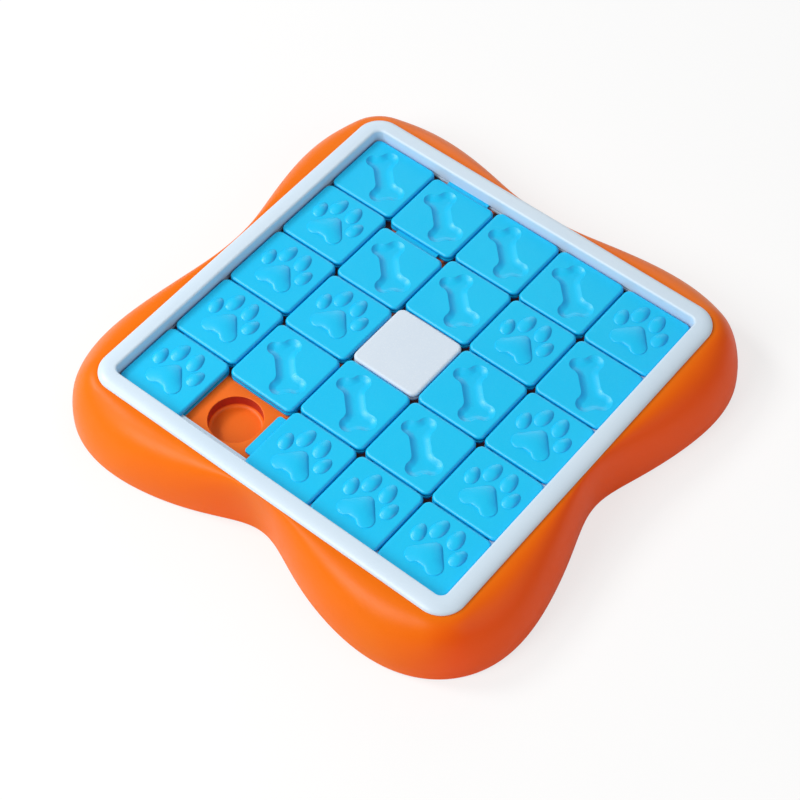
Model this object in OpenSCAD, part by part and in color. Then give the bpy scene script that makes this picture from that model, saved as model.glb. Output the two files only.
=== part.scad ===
// Sliding-tile treat puzzle for dogs: a 5 x 5 board with 23 sliding tiles, one fixed centre tile
// and one empty cell. A treat well lies under every cell but the centre one. The orange base is one
// moulding, drawn as four skirt lobes, 24 wells and the tray around them, which meet face to face.
// Millimetres, Z up. The origin is on the floor, under the middle of the board.
// Columns run along +X and rows along +Y, both counted from 1.

/* [Board] */
// Distance between the middles of neighbouring cells
pitch = 51; // [45:0.5:60]
// Height of the cell floor above the surface that the toy stands on
deck_z = 30.2; // [24:0.2:40]
// Depth of a treat well below the cell floor
well_depth = 9.6; // [5:0.2:12]
// Radius of a treat well
well_r = 17.2; // [12:0.2:19]
// Radius between the wall and the floor of a well
well_fillet = 2.5; // [0.5:0.1:4]
// Offset of each well from the middle of its cell, along X and Y
well_offset = [-0.6, -0.9]; // [-4:0.1:4]

/* [Tiles] */
// Clear gap between neighbouring tiles
tile_gap = 1.0; // [0.6:0.1:1.6]
// Height of a tile from the cell floor to its flat top
tile_h = 6; // [5.6:0.2:10]
// Radius of a tile's upright corners
tile_corner_r = 4.8; // [3:0.2:8]
// Radius of the rounded edge around a tile's top
tile_edge_r = 1.5; // [0.4:0.1:2]
// Thickness of the flange under the guide groove
flange_h = 1.4; // [1:0.1:2]
// Thickness of a guide tongue
tongue_h = 1.3; // [1:0.1:1.8]
// How far a guide tongue stands out of a tile
tongue_out = 6.0; // [3:0.2:7]
// Length of a guide tongue
tongue_len = 33; // [20:1:36]
// Extra gap beyond each tile of column 2 that was pushed towards the empty cell, rows 2 to 5
column_gaps = [0, 0, 3, 2.8]; // [0:0.1:8]

/* [Motifs] */
// Height of the raised paw prints
paw_h = 1.4; // [0.6:0.1:2]
// Depth of the sunken bones
bone_d = 1.7; // [0.8:0.1:2.2]
// Outer toes: distance to the side, distance up, half width, half length and lean outwards
toe_outer = [14.4, 3.1, 4.5, 6.6, 11]; // [0:0.1:20]
// Inner toes: distance to the side, distance up, half width, half length and lean outwards
toe_inner = [6.2, 12.3, 4.8, 7.4, -6]; // [-10:0.1:20]
// Middle of the pad: distance down, half width and half length
pad_middle = [4.4, 7.4, 9.4]; // [0:0.1:12]
// Sides of the pad: distance to the side, distance down, half width, half length and lean
pad_side = [6.2, 8.2, 6.0, 7.6, 40]; // [0:0.1:60]

/* [Frame] */
// Clear gap between the outermost tiles and the frame
frame_gap = 1.0; // [0.6:0.1:2]
// Width of the frame's visible top
frame_w = 12; // [11.5:0.5:16]
// Height of the frame's visible rim above the skirt
rim_h = 3.7; // [3.5:0.1:5]
// How far the rim reaches out over the skirt's upper edge
rim_land = 3.9; // [3:0.1:4.5]
// How far the frame stands above the tile tops
frame_rise = 7.4; // [4:0.2:12]
// Radius of the frame's inner corners
frame_corner_r = 5; // [3:0.5:7]
// Radius of the frame's outer shoulder
frame_edge_r = 3.5; // [1:0.1:3.5]

/* [Skirt] */
// Height of the skirt's foot above the surface that the toy stands on
skirt_bottom_z = 0.8; // [0:0.1:2]
// How far the skirt's foot stands out from the middle of the frame's sides, along X and Y
waist_out = [6.15, 0.75]; // [0.7:0.05:10]
// How far the skirt's foot stands out from the frame's corners
lobe_out = 19.6; // [10:0.1:30]
// Finer swings of the foot between waists and lobes, with 6, 10, 12 and 16 waves around it
lobe_detail = [0.6, 0.5, -0.65, -0.3]; // [-0.8:0.05:0.8]
// Wall thickness of the skirt
skirt_wall = 2.5; // [2:0.1:3]

/* [Fits] */
// Clearance above and below a tongue in its groove
tongue_play = 0.4; // [0.3:0.05:0.6]
// Clearance between the end of a tongue and its groove when two tiles touch
tongue_gap = 0.6; // [0.3:0.1:1]
// Clearance around the frame's plug in the skirt's pocket
plug_gap = 0.3; // [0.1:0.05:0.5]
// Clearance around the tray in the skirt's pocket
tray_gap = 0.2; // [0.1:0.05:0.5]
// Clearance between the frame's flange and the skirt's upper edge
flange_gap = 0.2; // [0.1:0.05:0.5]
// Clearance around a screw in the hole that it cuts its thread in
pilot_gap = 0.15; // [0.05:0.05:0.3]
// Clearance around a screw where it passes through the tray
shank_gap = 0.35; // [0.2:0.05:0.5]
// Clearance around a foot's stem in its bore
stem_gap = 0.2; // [0.1:0.05:0.4]
// Clearance between the tip of a screw and the end of its hole
tip_gap = 0.6; // [0.2:0.1:1]

/* [Screws and feet] */
// Radius of a screw's shank
screw_r = 1.45; // [1:0.05:2]
// Radius of a screw's head
screw_head_r = 3.4; // [2.8:0.1:3.8]
// Height of a screw's head
screw_head_h = 2.0; // [1.4:0.1:3]
// How far the frame's screws reach into the frame
frame_bite = 9.4; // [6:0.1:10]
// How far the middle screw reaches into the fixed tile
tile_bite = 4.0; // [3:0.1:4.6]
// Height of a rubber foot below its post
foot_h = 3; // [2:0.1:4]
// Radius of a rubber foot
foot_r = 8; // [7:0.1:10]

/* [Hidden] */
$fn = 64;
cells = 5;
side_steps = 14;
corner_steps = 10;
shell_steps = 9;
inner_steps = 6;
eps = 0.01;

tile_w = pitch - tile_gap;
tile_top_z = deck_z + tile_h;
tongue_z = flange_h + tongue_play;
groove_h = tongue_h + 2 * tongue_play;
groove_d = tongue_out + tongue_gap;

frame_in = cells * pitch / 2 - tile_gap / 2 + frame_gap;
frame_mid = frame_in - frame_corner_r;
frame_out = frame_in + frame_w;
frame_out_r = frame_corner_r + frame_w;
frame_top_z = tile_top_z + frame_rise;
rim_z = frame_top_z - rim_h;
plug_w = frame_w - rim_land;
slot_end = 8;
slot_len = cells * pitch - 2 * slot_end;

plate_h = 2.2;
ledge_h = 1.6;
ledge_w = 1.4;
pocket_in = frame_in + plug_w + plug_gap;
pocket_r = frame_corner_r + plug_w + plug_gap;
pocket_wall = 2.6;
seat_z = deck_z - plate_h;
ledge_z = seat_z - ledge_h;
cup_wall = 1.8;

skirt_top_z = rim_z - flange_gap;
rim_out = 0.25;
least_space = 0.4;
full_space = 12;
waist_x = frame_out + waist_out[0];
waist_y = frame_out + waist_out[1];
lobe = (frame_out - frame_out_r) * sqrt(2) + frame_out_r + lobe_out;

post_r = 7.5;
bore_r = 4.1;
bore_roof = 2.8;
post_at = frame_mid + (frame_corner_r + plug_w / 2) / sqrt(2);
screw_seat_z = ledge_z - bore_roof;

orange = [0.95, 0.45, 0.12];
ice_white = [0.86, 0.92, 0.96];
sky_blue = [0.16, 0.74, 0.93];
charcoal = [0.16, 0.16, 0.17];
steel = [0.72, 0.73, 0.75];

centre_cell = [3, 3];
// One string per row, from row 1 up: p is a tile with a paw, b one with a bone, - is no sliding tile
motifs = ["p-ppp", "pbbbp", "pp-bp", "pbbpb", "bbbbp"];

function cell_x(c) = (c - (cells + 1) / 2) * pitch;
function gaps_from(r) = r > cells ? 0 : column_gaps[r - 2] + gaps_from(r + 1);
function shift_y(c, r) = c == 2 && r > 1 ? -gaps_from(r) : 0;
function slides(c, r) = motifs[r - 1][c - 1] != "-";
function tile_name(c, r) = str("tile_c", c, "_r", r);
function well_name(c, r) = str("well_c", c, "_r", r);
TILES = [for (r = [1:cells], c = [1:cells]) if (slides(c, r)) [c, r]];
WELLS = [for (r = [1:cells], c = [1:cells]) if ([c, r] != centre_cell) [c, r]];
// Corners of the toy that lobes and feet are numbered by
CORNERS = [[-1, -1], [1, -1], [1, 1], [-1, 1]];

// ---- shared shapes ----

// A square plate with rounded upright corners, half is half its side
module round_plate(half, r, h) {
    linear_extrude(h) {
        square([2 * half, 2 * (half - r)], center = true);
        square([2 * (half - r), 2 * half], center = true);
        for (x = [-1, 1], y = [-1, 1]) translate([x * (half - r), y * (half - r)]) circle(r);
    }
}

// Runs a profile around a rounded square; mid is where its corners turn
module around_square(mid) {
    for (a = [0:90:270]) rotate(a) {
        translate([mid, mid, 0]) rotate_extrude(angle = 90) children();
        translate([mid, mid, 0]) rotate([90, 0, 0]) linear_extrude(2 * mid) children();
    }
}

// ---- tile ----

module block_profile() {
    r = tile_edge_r;
    square([tile_corner_r, tile_h - r]);
    square([tile_corner_r - r, tile_h]);
    translate([tile_corner_r - r, tile_h - r]) circle(r);
}

module tile_block() {
    mid = tile_w / 2 - tile_corner_r;
    translate([-mid, -mid, 0]) cube([2 * mid, 2 * mid, tile_h]);
    around_square(mid) block_profile();
}

// Tongue along the side that faces -X
module tongue() {
    r = 2;
    root = 1;
    translate([-tile_w / 2 - tongue_out, -tongue_len / 2, tongue_z]) linear_extrude(tongue_h) {
        translate([r, 0]) square([tongue_out + root - r, tongue_len]);
        translate([0, r]) square([r + 1, tongue_len - 2 * r]);
        for (y = [r, tongue_len - r]) translate([r, y]) circle(r);
    }
}

module groove_cut() {
    translate([tile_w / 2 - groove_d, -tile_w, flange_h]) cube([2 * groove_d, 2 * tile_w, groove_h]);
}

module guided_block() {
    difference() {
        tile_block();
        groove_cut();
        rotate(-90) groove_cut();
    }
    tongue();
    rotate(-90) tongue();
}

// Low dome on the tile top: w and l are half the width and length of its foot
module dome(x, y, w, l, turn) {
    sunk = 0.6;
    foot = sqrt(1 - pow(sunk / (1 + sunk), 2));
    root = 0.4;
    translate([x, y, tile_h]) rotate(turn) intersection() {
        translate([0, 0, -sunk * paw_h]) scale([w / foot, l / foot, (1 + sunk) * paw_h]) sphere(1);
        translate([-l, -l, -root]) cube([2 * l, 2 * l, 2 * paw_h]);
    }
}

module paw() {
    dome(0, -pad_middle[0], pad_middle[1], pad_middle[2], 0);
    for (s = [-1, 1]) {
        for (t = [toe_outer, toe_inner]) dome(s * t[0], t[1], t[2], t[3], -s * t[4]);
        dome(s * pad_side[0], -pad_side[1], pad_side[2], pad_side[3], s * pad_side[4]);
    }
}

// Cap cut by a sphere or a cylinder whose mouth has half width w at depth d
function cap_r(w, d) = (w * w + d * d) / (2 * d);

// Trough with two knobs at either end, along the diagonal from -X, +Y to +X, -Y
module bone_cut() {
    shaft_w = 6.3;
    shaft_r = cap_r(shaft_w, bone_d);
    shaft_half = 12;
    knob_w = 6.0;
    knob_d = bone_d - 0.2;
    knob_r = cap_r(knob_w, knob_d);
    knob_at = [15.0, 5.3];
    rotate(-45) {
        translate([0, 0, tile_h + shaft_r - bone_d]) {
            rotate([0, 90, 0]) cylinder(h = 2 * shaft_half, r = shaft_r, center = true);
            for (x = [-1, 1]) translate([x * shaft_half, 0, 0]) sphere(shaft_r);
        }
        for (x = [-1, 1], y = [-1, 1])
            translate([x * knob_at[0], y * knob_at[1], tile_h + knob_r - knob_d]) sphere(knob_r);
    }
}

module sliding_tile(c, r) {
    hollow = 32;
    hollow_h = 2.8;
    low = -(hollow + groove_d) / 2;
    high = -(hollow - groove_d) / 2;
    translate([cell_x(c), cell_x(r) + shift_y(c, r), deck_z]) color(sky_blue) {
        difference() {
            guided_block();
            translate([low, high, -1]) cube([hollow, hollow, hollow_h + 1]);
            if (motifs[r - 1][c - 1] == "b") bone_cut();
        }
        if (motifs[r - 1][c - 1] == "p") paw();
    }
}

module centre_tile() {
    translate([0, 0, deck_z]) color(ice_white) difference() {
        guided_block();
        translate([0, 0, -1]) cylinder(h = tile_bite + tip_gap + 1, r = screw_r + pilot_gap);
    }
}

// ---- frame ----

module frame_profile() {
    fillet = 0.8;
    shoulder_x = frame_out_r - frame_edge_r;
    difference() {
        union() {
            translate([frame_corner_r, rim_z]) square([frame_w - frame_edge_r, rim_h]);
            translate([frame_corner_r, rim_z]) square([frame_w, rim_h - frame_edge_r]);
            intersection() {
                translate([shoulder_x, frame_top_z - frame_edge_r]) circle(frame_edge_r);
                translate([frame_corner_r, rim_z]) square([frame_w, rim_h]);
            }
            translate([frame_corner_r, deck_z]) square([plug_w, rim_z - deck_z + eps]);
        }
        difference() {
            translate([frame_corner_r - 1, frame_top_z - fillet]) square([1 + fillet, 1 + fillet]);
            translate([frame_corner_r + fillet, frame_top_z - fillet]) circle(fillet);
        }
    }
}

// Slot that takes the tongues of the tiles along the -X bar
module frame_slot() {
    translate([-frame_in - groove_d, -slot_len / 2, deck_z + flange_h])
        cube([groove_d + 1, slot_len, groove_h]);
}

// Rail that runs in the grooves of the tiles along the +X bar
module frame_rail() {
    translate([frame_in - tongue_out, -slot_len / 2, deck_z + tongue_z])
        cube([tongue_out + 1, slot_len, tongue_h]);
}

module frame() {
    color(ice_white) {
        difference() {
            around_square(frame_mid) frame_profile();
            frame_slot();
            rotate(-90) frame_slot();
            at_corners() translate([0, 0, deck_z - 1])
                cylinder(h = frame_bite + tip_gap + 1, r = screw_r + pilot_gap);
        }
        frame_rail();
        rotate(-90) frame_rail();
    }
}

module at_corners() {
    for (k = CORNERS) translate([k[0] * post_at, k[1] * post_at, 0]) children();
}

// ---- tray with the wells ----

module well_cut() {
    lip = 0.5;
    floor_z = deck_z - well_depth;
    lip_r = well_r + 2 * lip;
    rotate_extrude() {
        translate([0, floor_z]) square([well_r - well_fillet, well_depth + 1]);
        translate([0, floor_z + well_fillet]) square([well_r, well_depth - well_fillet + 1]);
        translate([well_r - well_fillet, floor_z + well_fillet]) circle(well_fillet);
        polygon([[0, deck_z - lip], [well_r, deck_z - lip], [lip_r, deck_z + lip], [0, deck_z + lip]]);
    }
}

// Square piece of the tray under one cell, with its cup
module well(c, r) {
    cup_z = deck_z - well_depth - cup_wall;
    cup_r = well_r + cup_wall;
    translate([cell_x(c), cell_x(r), 0]) color(orange) difference() {
        union() {
            translate([-pitch / 2, -pitch / 2, ledge_z]) cube([pitch, pitch, deck_z - ledge_z]);
            translate([well_offset[0], well_offset[1], cup_z])
                cylinder(h = ledge_z - cup_z + eps, r = cup_r);
        }
        translate([well_offset[0], well_offset[1], 0]) well_cut();
    }
}

// The rest of the tray: its border with the posts, and the plate under the fixed tile
module tray() {
    grid = cells * pitch;
    hole_r = screw_r + shank_gap;
    color(orange) difference() {
        union() {
            translate([0, 0, seat_z]) round_plate(pocket_in - tray_gap, pocket_r - tray_gap, plate_h);
            translate([0, 0, ledge_z]) round_plate(pocket_in + ledge_w, pocket_r + ledge_w, ledge_h);
        }
        translate([-grid / 2, -grid / 2, ledge_z - 1]) cube([grid, grid, deck_z - ledge_z + 2]);
        at_corners() cylinder(h = deck_z + 1, r = hole_r);
    }
    color(orange) at_corners() difference() {
        translate([0, 0, foot_h]) cylinder(h = ledge_z - foot_h, r = post_r);
        translate([0, 0, foot_h - 1]) cylinder(h = screw_seat_z - foot_h + 1, r = bore_r);
        cylinder(h = deck_z + 1, r = hole_r);
    }
    color(orange) difference() {
        translate([-pitch / 2, -pitch / 2, ledge_z]) cube([pitch, pitch, deck_z - ledge_z]);
        cylinder(h = deck_z + 1, r = hole_r);
    }
}

// ---- skirt ----

// Radius of the skirt's foot at angle a: four lobes with a waist in the middle of each side
function skirt_r(a) =
    let (waist = (waist_x + waist_y) / 2, c2 = cos(2 * a), c4 = cos(4 * a))
    (lobe + waist) / 2 - (lobe - waist) / 2 * c4 + (waist_x - waist_y) / 2 * c2
    + lobe_detail * [cos(6 * a) - c2, cos(10 * a) - c2, cos(12 * a) - c4, cos(16 * a) - 1];

// Radius at angle a of a rounded square with half side h and corner radius r
function square_r(a, h, r) =
    let (c = abs(cos(a)), s = abs(sin(a)), k = h - r, b = k * (c + s), flat = h / max(c, s))
    flat * min(c, s) > k ? b + sqrt(b * b - 2 * k * k + r * r) : flat;

// Cross-section of the skirt at angle a, from its foot up the outside and back down the inside.
// The space inside the wall gets lower towards the waists, where the foot comes close to the pocket.
function skirt_section(a) =
    let (foot = skirt_r(a),
         top = square_r(a, frame_out + rim_out, frame_out_r + rim_out),
         pocket = square_r(a, pocket_in, pocket_r),
         in_foot = foot - skirt_wall,
         in_wall = square_r(a, pocket_in + pocket_wall, pocket_r + pocket_wall),
         in_top = min(in_wall, in_foot - least_space),
         open = min(1, max(0, (in_foot - in_top - least_space) / full_space)),
         low_z = seat_z + least_space,
         in_z = low_z + open * (skirt_top_z - skirt_wall - low_z),
         rise = skirt_top_z - skirt_bottom_z,
         in_rise = in_z - skirt_bottom_z)
    concat(
        [for (i = [0:shell_steps]) let (t = 90 * i / shell_steps)
            [top + (foot - top) * cos(t), skirt_bottom_z + rise * sin(t)]],
        [[pocket, skirt_top_z], [pocket, seat_z], [in_top, seat_z]],
        [for (i = [inner_steps:-1:0]) let (t = 90 * i / inner_steps)
            [in_top + (in_foot - in_top) * cos(t), skirt_bottom_z + in_rise * sin(t)]]);

// Angles of a lobe's sections from one waist to the next, closer together around the pocket's corner
function lobe_angles() =
    let (side = atan2(frame_mid, pocket_in), n = side_steps, m = corner_steps)
    concat(
        [for (i = [0:n - 1]) side * i / n],
        [for (i = [0:m]) let (b = 90 * i / m)
            atan2(frame_mid + pocket_r * sin(b), frame_mid + pocket_r * cos(b))],
        [for (i = [n - 1:-1:0]) 90 - side * i / n]);

// Quarter of the skirt from the waist at angle first to the next one
module skirt_lobe(first) {
    angles = [for (a = lobe_angles()) first + a];
    n = len(angles) - 1;
    sections = [for (a = angles) skirt_section(a)];
    m = len(sections[0]);
    points = [for (i = [0:n], p = sections[i]) [p[0] * cos(angles[i]), p[0] * sin(angles[i]), p[1]]];
    sides = [for (i = [n - 1:-1:0], j = [m - 1:-1:0])
        let (p = i * m + j, q = p + m, v = i * m + (j + 1) % m, u = v + m)
        each [[p, v, u], [p, u, q]]];
    start = [for (j = [m - 1:-1:0]) j];
    end = [for (j = [0:m - 1]) n * m + j];
    color(orange) polyhedron(points = points, faces = concat([start, end], sides), convexity = 6);
}

// ---- feet and screws ----

module foot(corner) {
    edge = 1;
    stem_h = 4;
    translate([corner[0] * post_at, corner[1] * post_at, 0]) color(charcoal) {
        rotate_extrude() {
            square([foot_r - edge, foot_h]);
            translate([0, edge]) square([foot_r, foot_h - edge]);
            translate([foot_r - edge, edge]) circle(edge);
        }
        translate([0, 0, foot_h - eps]) cylinder(h = stem_h, r = bore_r - stem_gap);
    }
}

// Cross-recessed screw that points up; z is where its head meets the tray
module screw(z, length) {
    cross_w = 0.9;
    cross_l = 4;
    cross_h = 1.2;
    tip_h = 2;
    tip_r = 0.4;
    color(steel) translate([0, 0, z]) {
        difference() {
            translate([0, 0, -screw_head_h]) cylinder(h = screw_head_h, r = screw_head_r);
            for (a = [0, 90]) rotate(a) translate([-cross_l / 2, -cross_w / 2, -screw_head_h - 1])
                cube([cross_l, cross_w, cross_h + 1]);
        }
        translate([0, 0, -eps]) cylinder(h = length - tip_h, r = screw_r);
        translate([0, 0, length - tip_h - 2 * eps]) cylinder(h = tip_h, r1 = screw_r, r2 = tip_r);
    }
}

module frame_screws() {
    at_corners() screw(screw_seat_z, deck_z - screw_seat_z + frame_bite);
}

module centre_screw() {
    screw(ledge_z, deck_z - ledge_z + tile_bite);
}

tray();
frame();
centre_tile();
centre_screw();
frame_screws();
for (i = [1:4]) skirt_lobe(90 + 90 * i);
for (i = [1:4]) foot(CORNERS[i - 1]);
for (w = WELLS) well(w[0], w[1]);
for (t = TILES) sliding_tile(t[0], t[1]);
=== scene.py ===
from math import acos, atan2, cos, hypot, pi, radians, sin, sqrt

import bpy
import bmesh
from mathutils import Matrix, Vector


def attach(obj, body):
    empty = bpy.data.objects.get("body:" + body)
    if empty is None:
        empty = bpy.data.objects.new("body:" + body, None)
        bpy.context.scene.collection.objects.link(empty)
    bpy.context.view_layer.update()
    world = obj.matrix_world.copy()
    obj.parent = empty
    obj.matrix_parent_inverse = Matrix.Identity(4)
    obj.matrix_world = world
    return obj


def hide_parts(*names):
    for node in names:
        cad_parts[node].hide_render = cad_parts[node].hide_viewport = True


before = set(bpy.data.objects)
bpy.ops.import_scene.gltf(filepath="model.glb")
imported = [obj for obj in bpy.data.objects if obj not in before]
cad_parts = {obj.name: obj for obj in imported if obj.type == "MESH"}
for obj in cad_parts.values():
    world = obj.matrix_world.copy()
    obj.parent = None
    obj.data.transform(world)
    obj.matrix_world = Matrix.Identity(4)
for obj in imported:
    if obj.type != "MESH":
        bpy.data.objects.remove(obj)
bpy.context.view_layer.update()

# Treat puzzle for dogs: sliding tiles in a frame on a lobed base.
# The builders below work in millimetres; addPiece turns each finished piece into metres.
mm = 0.001
near = 0.001        # points closer than this, in millimetres, are one point
squareOn = 0.9      # a face looks along an axis when its normal reaches this far along it
scene = bpy.context.scene
print("frame loaded:", len(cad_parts), "nodes")

board = {
    "cells": 5,
    "pitch": 51.0,
    "deckZ": 30.2,
    "centre": 3,                            # column and row of the fixed tile
    "looseColumn": 2,
    "columnGaps": {4: 3.0, 5: 2.8},         # gaps that opened above these rows of the loose column
    # row 1 first; p is a paw, b a bone, - the empty cell or the fixed tile
    "motifs": ["p-ppp", "pbbbp", "pp-bp", "pbbpb", "bbbbp"],
}


def cellAt(column, row):
    middle = (board["cells"] + 1) / 2
    return Vector(((column - middle) * board["pitch"], (row - middle) * board["pitch"], 0))


def tileAt(column, row):
    place = cellAt(column, row)
    if column == board["looseColumn"]:
        place.y -= sum(gap for r, gap in board["columnGaps"].items() if r >= row)
    return place


def towards(a, b):
    # direction from a to b
    return atan2(b[1] - a[1], b[0] - a[0])


def arc(centre, radius, start, end, count):
    # points from angle start to angle end, the last one left out
    turn = (end - start) / count
    return [(centre[0] + radius * cos(start + i * turn), centre[1] + radius * sin(start + i * turn))
            for i in range(count)]


def arcTo(centre, radius, start, end, sense, count):
    # arc that turns left (1) or right (-1) until it comes to angle end
    while (end - start) * sense < 0:
        end += 2 * pi * sense
    return arc(centre, radius, start, end, count)


def circlesTouching(a, ra, b, rb, side):
    # middle of the circle that lies ra from a and rb from b, on the left (1) or right (-1) of a to b
    span = hypot(b[0] - a[0], b[1] - a[1])
    along = (ra * ra - rb * rb + span * span) / (2 * span)
    away = sqrt(ra * ra - along * along) * side
    ux, uy = (b[0] - a[0]) / span, (b[1] - a[1]) / span
    return (a[0] + along * ux - away * uy, a[1] + along * uy + away * ux)


def cutFaces(bm, wanted, point, normal):
    # cuts only the wanted faces with a plane
    faces = [f for f in bm.faces if wanted(f)]
    edges = {e for f in faces for e in f.edges}
    verts = {v for f in faces for v in f.verts}
    bmesh.ops.bisect_plane(bm, geom=faces + list(edges) + list(verts), dist=near / 10,
                           plane_co=point, plane_no=normal)


def vertsIn(geom):
    return [g for g in geom if isinstance(g, bmesh.types.BMVert)]


def pushFaces(bm, faces, move):
    # extrudes a region of faces and moves what is new
    verts = vertsIn(bmesh.ops.extrude_face_region(bm, geom=faces)["geom"])
    if callable(move):
        for v in verts:
            v.co = move(v.co)
    else:
        bmesh.ops.translate(bm, vec=move, verts=verts)
    left = [f for f in faces if f.is_valid]
    if left:
        bmesh.ops.delete(bm, geom=left, context="FACES")
    return verts


def fillAt(bm, z, up):
    # closes the open edges that lie at height z, with holes left where inner loops lie
    edges = [e for e in bm.edges if len(e.link_faces) < 2 and all(abs(v.co.z - z) < near for v in e.verts)]
    bmesh.ops.triangle_fill(bm, use_beauty=True, use_dissolve=False, edges=edges, normal=(0, 0, up))


def spun(bm, profile, centre, steps):
    # turns a profile of (radius, z) points round an upright axis
    verts = [bm.verts.new((centre[0] + r, centre[1], z)) for r, z in profile]
    edges = [bm.edges.new(pair) for pair in zip(verts, verts[1:])]
    bmesh.ops.spin(bm, geom=verts + edges, cent=(centre[0], centre[1], 0), axis=(0, 0, 1),
                   dvec=(0, 0, 0), angle=2 * pi, steps=steps, use_merge=True, use_duplicate=False)


def quarterArc(centre, radius, start, end, count):
    # profile points from angle start to angle end in degrees, both ends kept
    return [(centre[0] + radius * cos(radians(start + (end - start) * i / count)),
             centre[1] + radius * sin(radians(start + (end - start) * i / count)))
            for i in range(count + 1)]


shading = {"sharpAbove": 40, "faceWeight": 90}      # degrees and per cent


def addPiece(name, bm, body, material, nodes):
    # cleans the mesh, turns it into metres and hands the piece to its body
    bmesh.ops.remove_doubles(bm, verts=bm.verts, dist=near)
    bmesh.ops.recalc_face_normals(bm, faces=bm.faces)
    openEdges = [e for e in bm.edges if len(e.link_faces) != 2]
    if openEdges:
        print("  open edges on", name, len(openEdges), [round(c, 2) for c in openEdges[0].verts[0].co])
    bmesh.ops.scale(bm, vec=(mm, mm, mm), verts=bm.verts)
    mesh = bpy.data.meshes.new(name)
    bm.to_mesh(mesh)
    bm.free()
    mesh.materials.append(material)
    mesh.shade_smooth()
    mesh.set_sharp_from_angle(angle=radians(shading["sharpAbove"]))
    piece = bpy.data.objects.new(name, mesh)
    scene.collection.objects.link(piece)
    weighted = piece.modifiers.new("even shading", "WEIGHTED_NORMAL")
    weighted.keep_sharp = True
    weighted.weight = shading["faceWeight"]
    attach(piece, body)
    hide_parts(*nodes)


def linear(rgb):
    # screen colour of 0 to 255 as the linear values that the shaders take
    return [c / 12.92 if c <= 0.04045 else ((c + 0.055) / 1.055) ** 2.4 for c in (v / 255 for v in rgb)] + [1]


class Nodes:
    # shorthand for wiring one material
    def __init__(self, name):
        self.material = bpy.data.materials.new(name)
        self.material.use_nodes = True
        self.tree = self.material.node_tree
        self.tree.nodes.clear()
        self.output = self.add("ShaderNodeOutputMaterial")
        place = self.add("ShaderNodeTexCoord")
        self.coords, self.normal = place.outputs["Object"], place.outputs["Normal"]

    def add(self, kind, **settings):
        node = self.tree.nodes.new(kind)
        for key, value in settings.items():
            if hasattr(node, key):
                setattr(node, key, value)
            else:
                node.inputs[key.replace("_", " ")].default_value = value
        return node

    def link(self, source, target):
        self.tree.links.new(source, target)

    def noise(self, scale, detail=2.0, roughness=0.5, stretch=(1, 1, 1), turn=(0, 0, 0)):
        place = self.add("ShaderNodeMapping")
        place.inputs["Scale"].default_value = stretch
        place.inputs["Rotation"].default_value = [radians(a) for a in turn]
        self.link(self.coords, place.inputs["Vector"])
        noise = self.add("ShaderNodeTexNoise", Scale=scale, Detail=detail, Roughness=roughness)
        self.link(place.outputs["Vector"], noise.inputs["Vector"])
        return noise.outputs["Fac"]

    def spread(self, source, low, high, fromLow=0.3, fromHigh=0.7):
        ramp = self.add("ShaderNodeMapRange")
        for key, value in (("From Min", fromLow), ("From Max", fromHigh), ("To Min", low), ("To Max", high)):
            ramp.inputs[key].default_value = value
        self.link(source, ramp.inputs["Value"])
        return ramp.outputs["Result"]

    def blend(self, factor, a, b):
        mix = self.add("ShaderNodeMix", data_type="RGBA")
        self.link(factor, mix.inputs["Factor"])
        for value, socket in ((a, mix.inputs[6]), (b, mix.inputs[7])):
            if isinstance(value, list):
                socket.default_value = value
            else:
                self.link(value, socket)
        return mix.outputs[2]

    def bump(self, height, strength, distance, under=None):
        bump = self.add("ShaderNodeBump", Strength=strength, Distance=distance)
        self.link(height, bump.inputs["Height"])
        if under is not None:
            self.link(under, bump.inputs["Normal"])
        return bump.outputs["Normal"]


# what all the moulded pieces share; a noise is scale in waves per metre, detail, roughness, stretch and turn
plastic = {
    "ior": 1.5,
    "cloudNoise": (14, 3), "speckShare": 0.8, "speckDetail": 2, "speckEnds": (0.52, 0.75),
    "rubNoise": (90, 4, 0.7, (1, 9, 1), (0, 0, 33)), "rubEnds": (0.56, 0.72),
    "satinNoise": (38, 3), "satinSwing": (-0.03, 0.04),
    "waveNoise": (55, 2), "waveStrength": 0.25, "grainDetail": (3, 0.6),
    "uprightEnds": (0.05, 0.55), "turnedFrom": 0.05,
    "junctionShadeReach": (6.0, 3.5),                # millimetres from the middle of a junction
}


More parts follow.
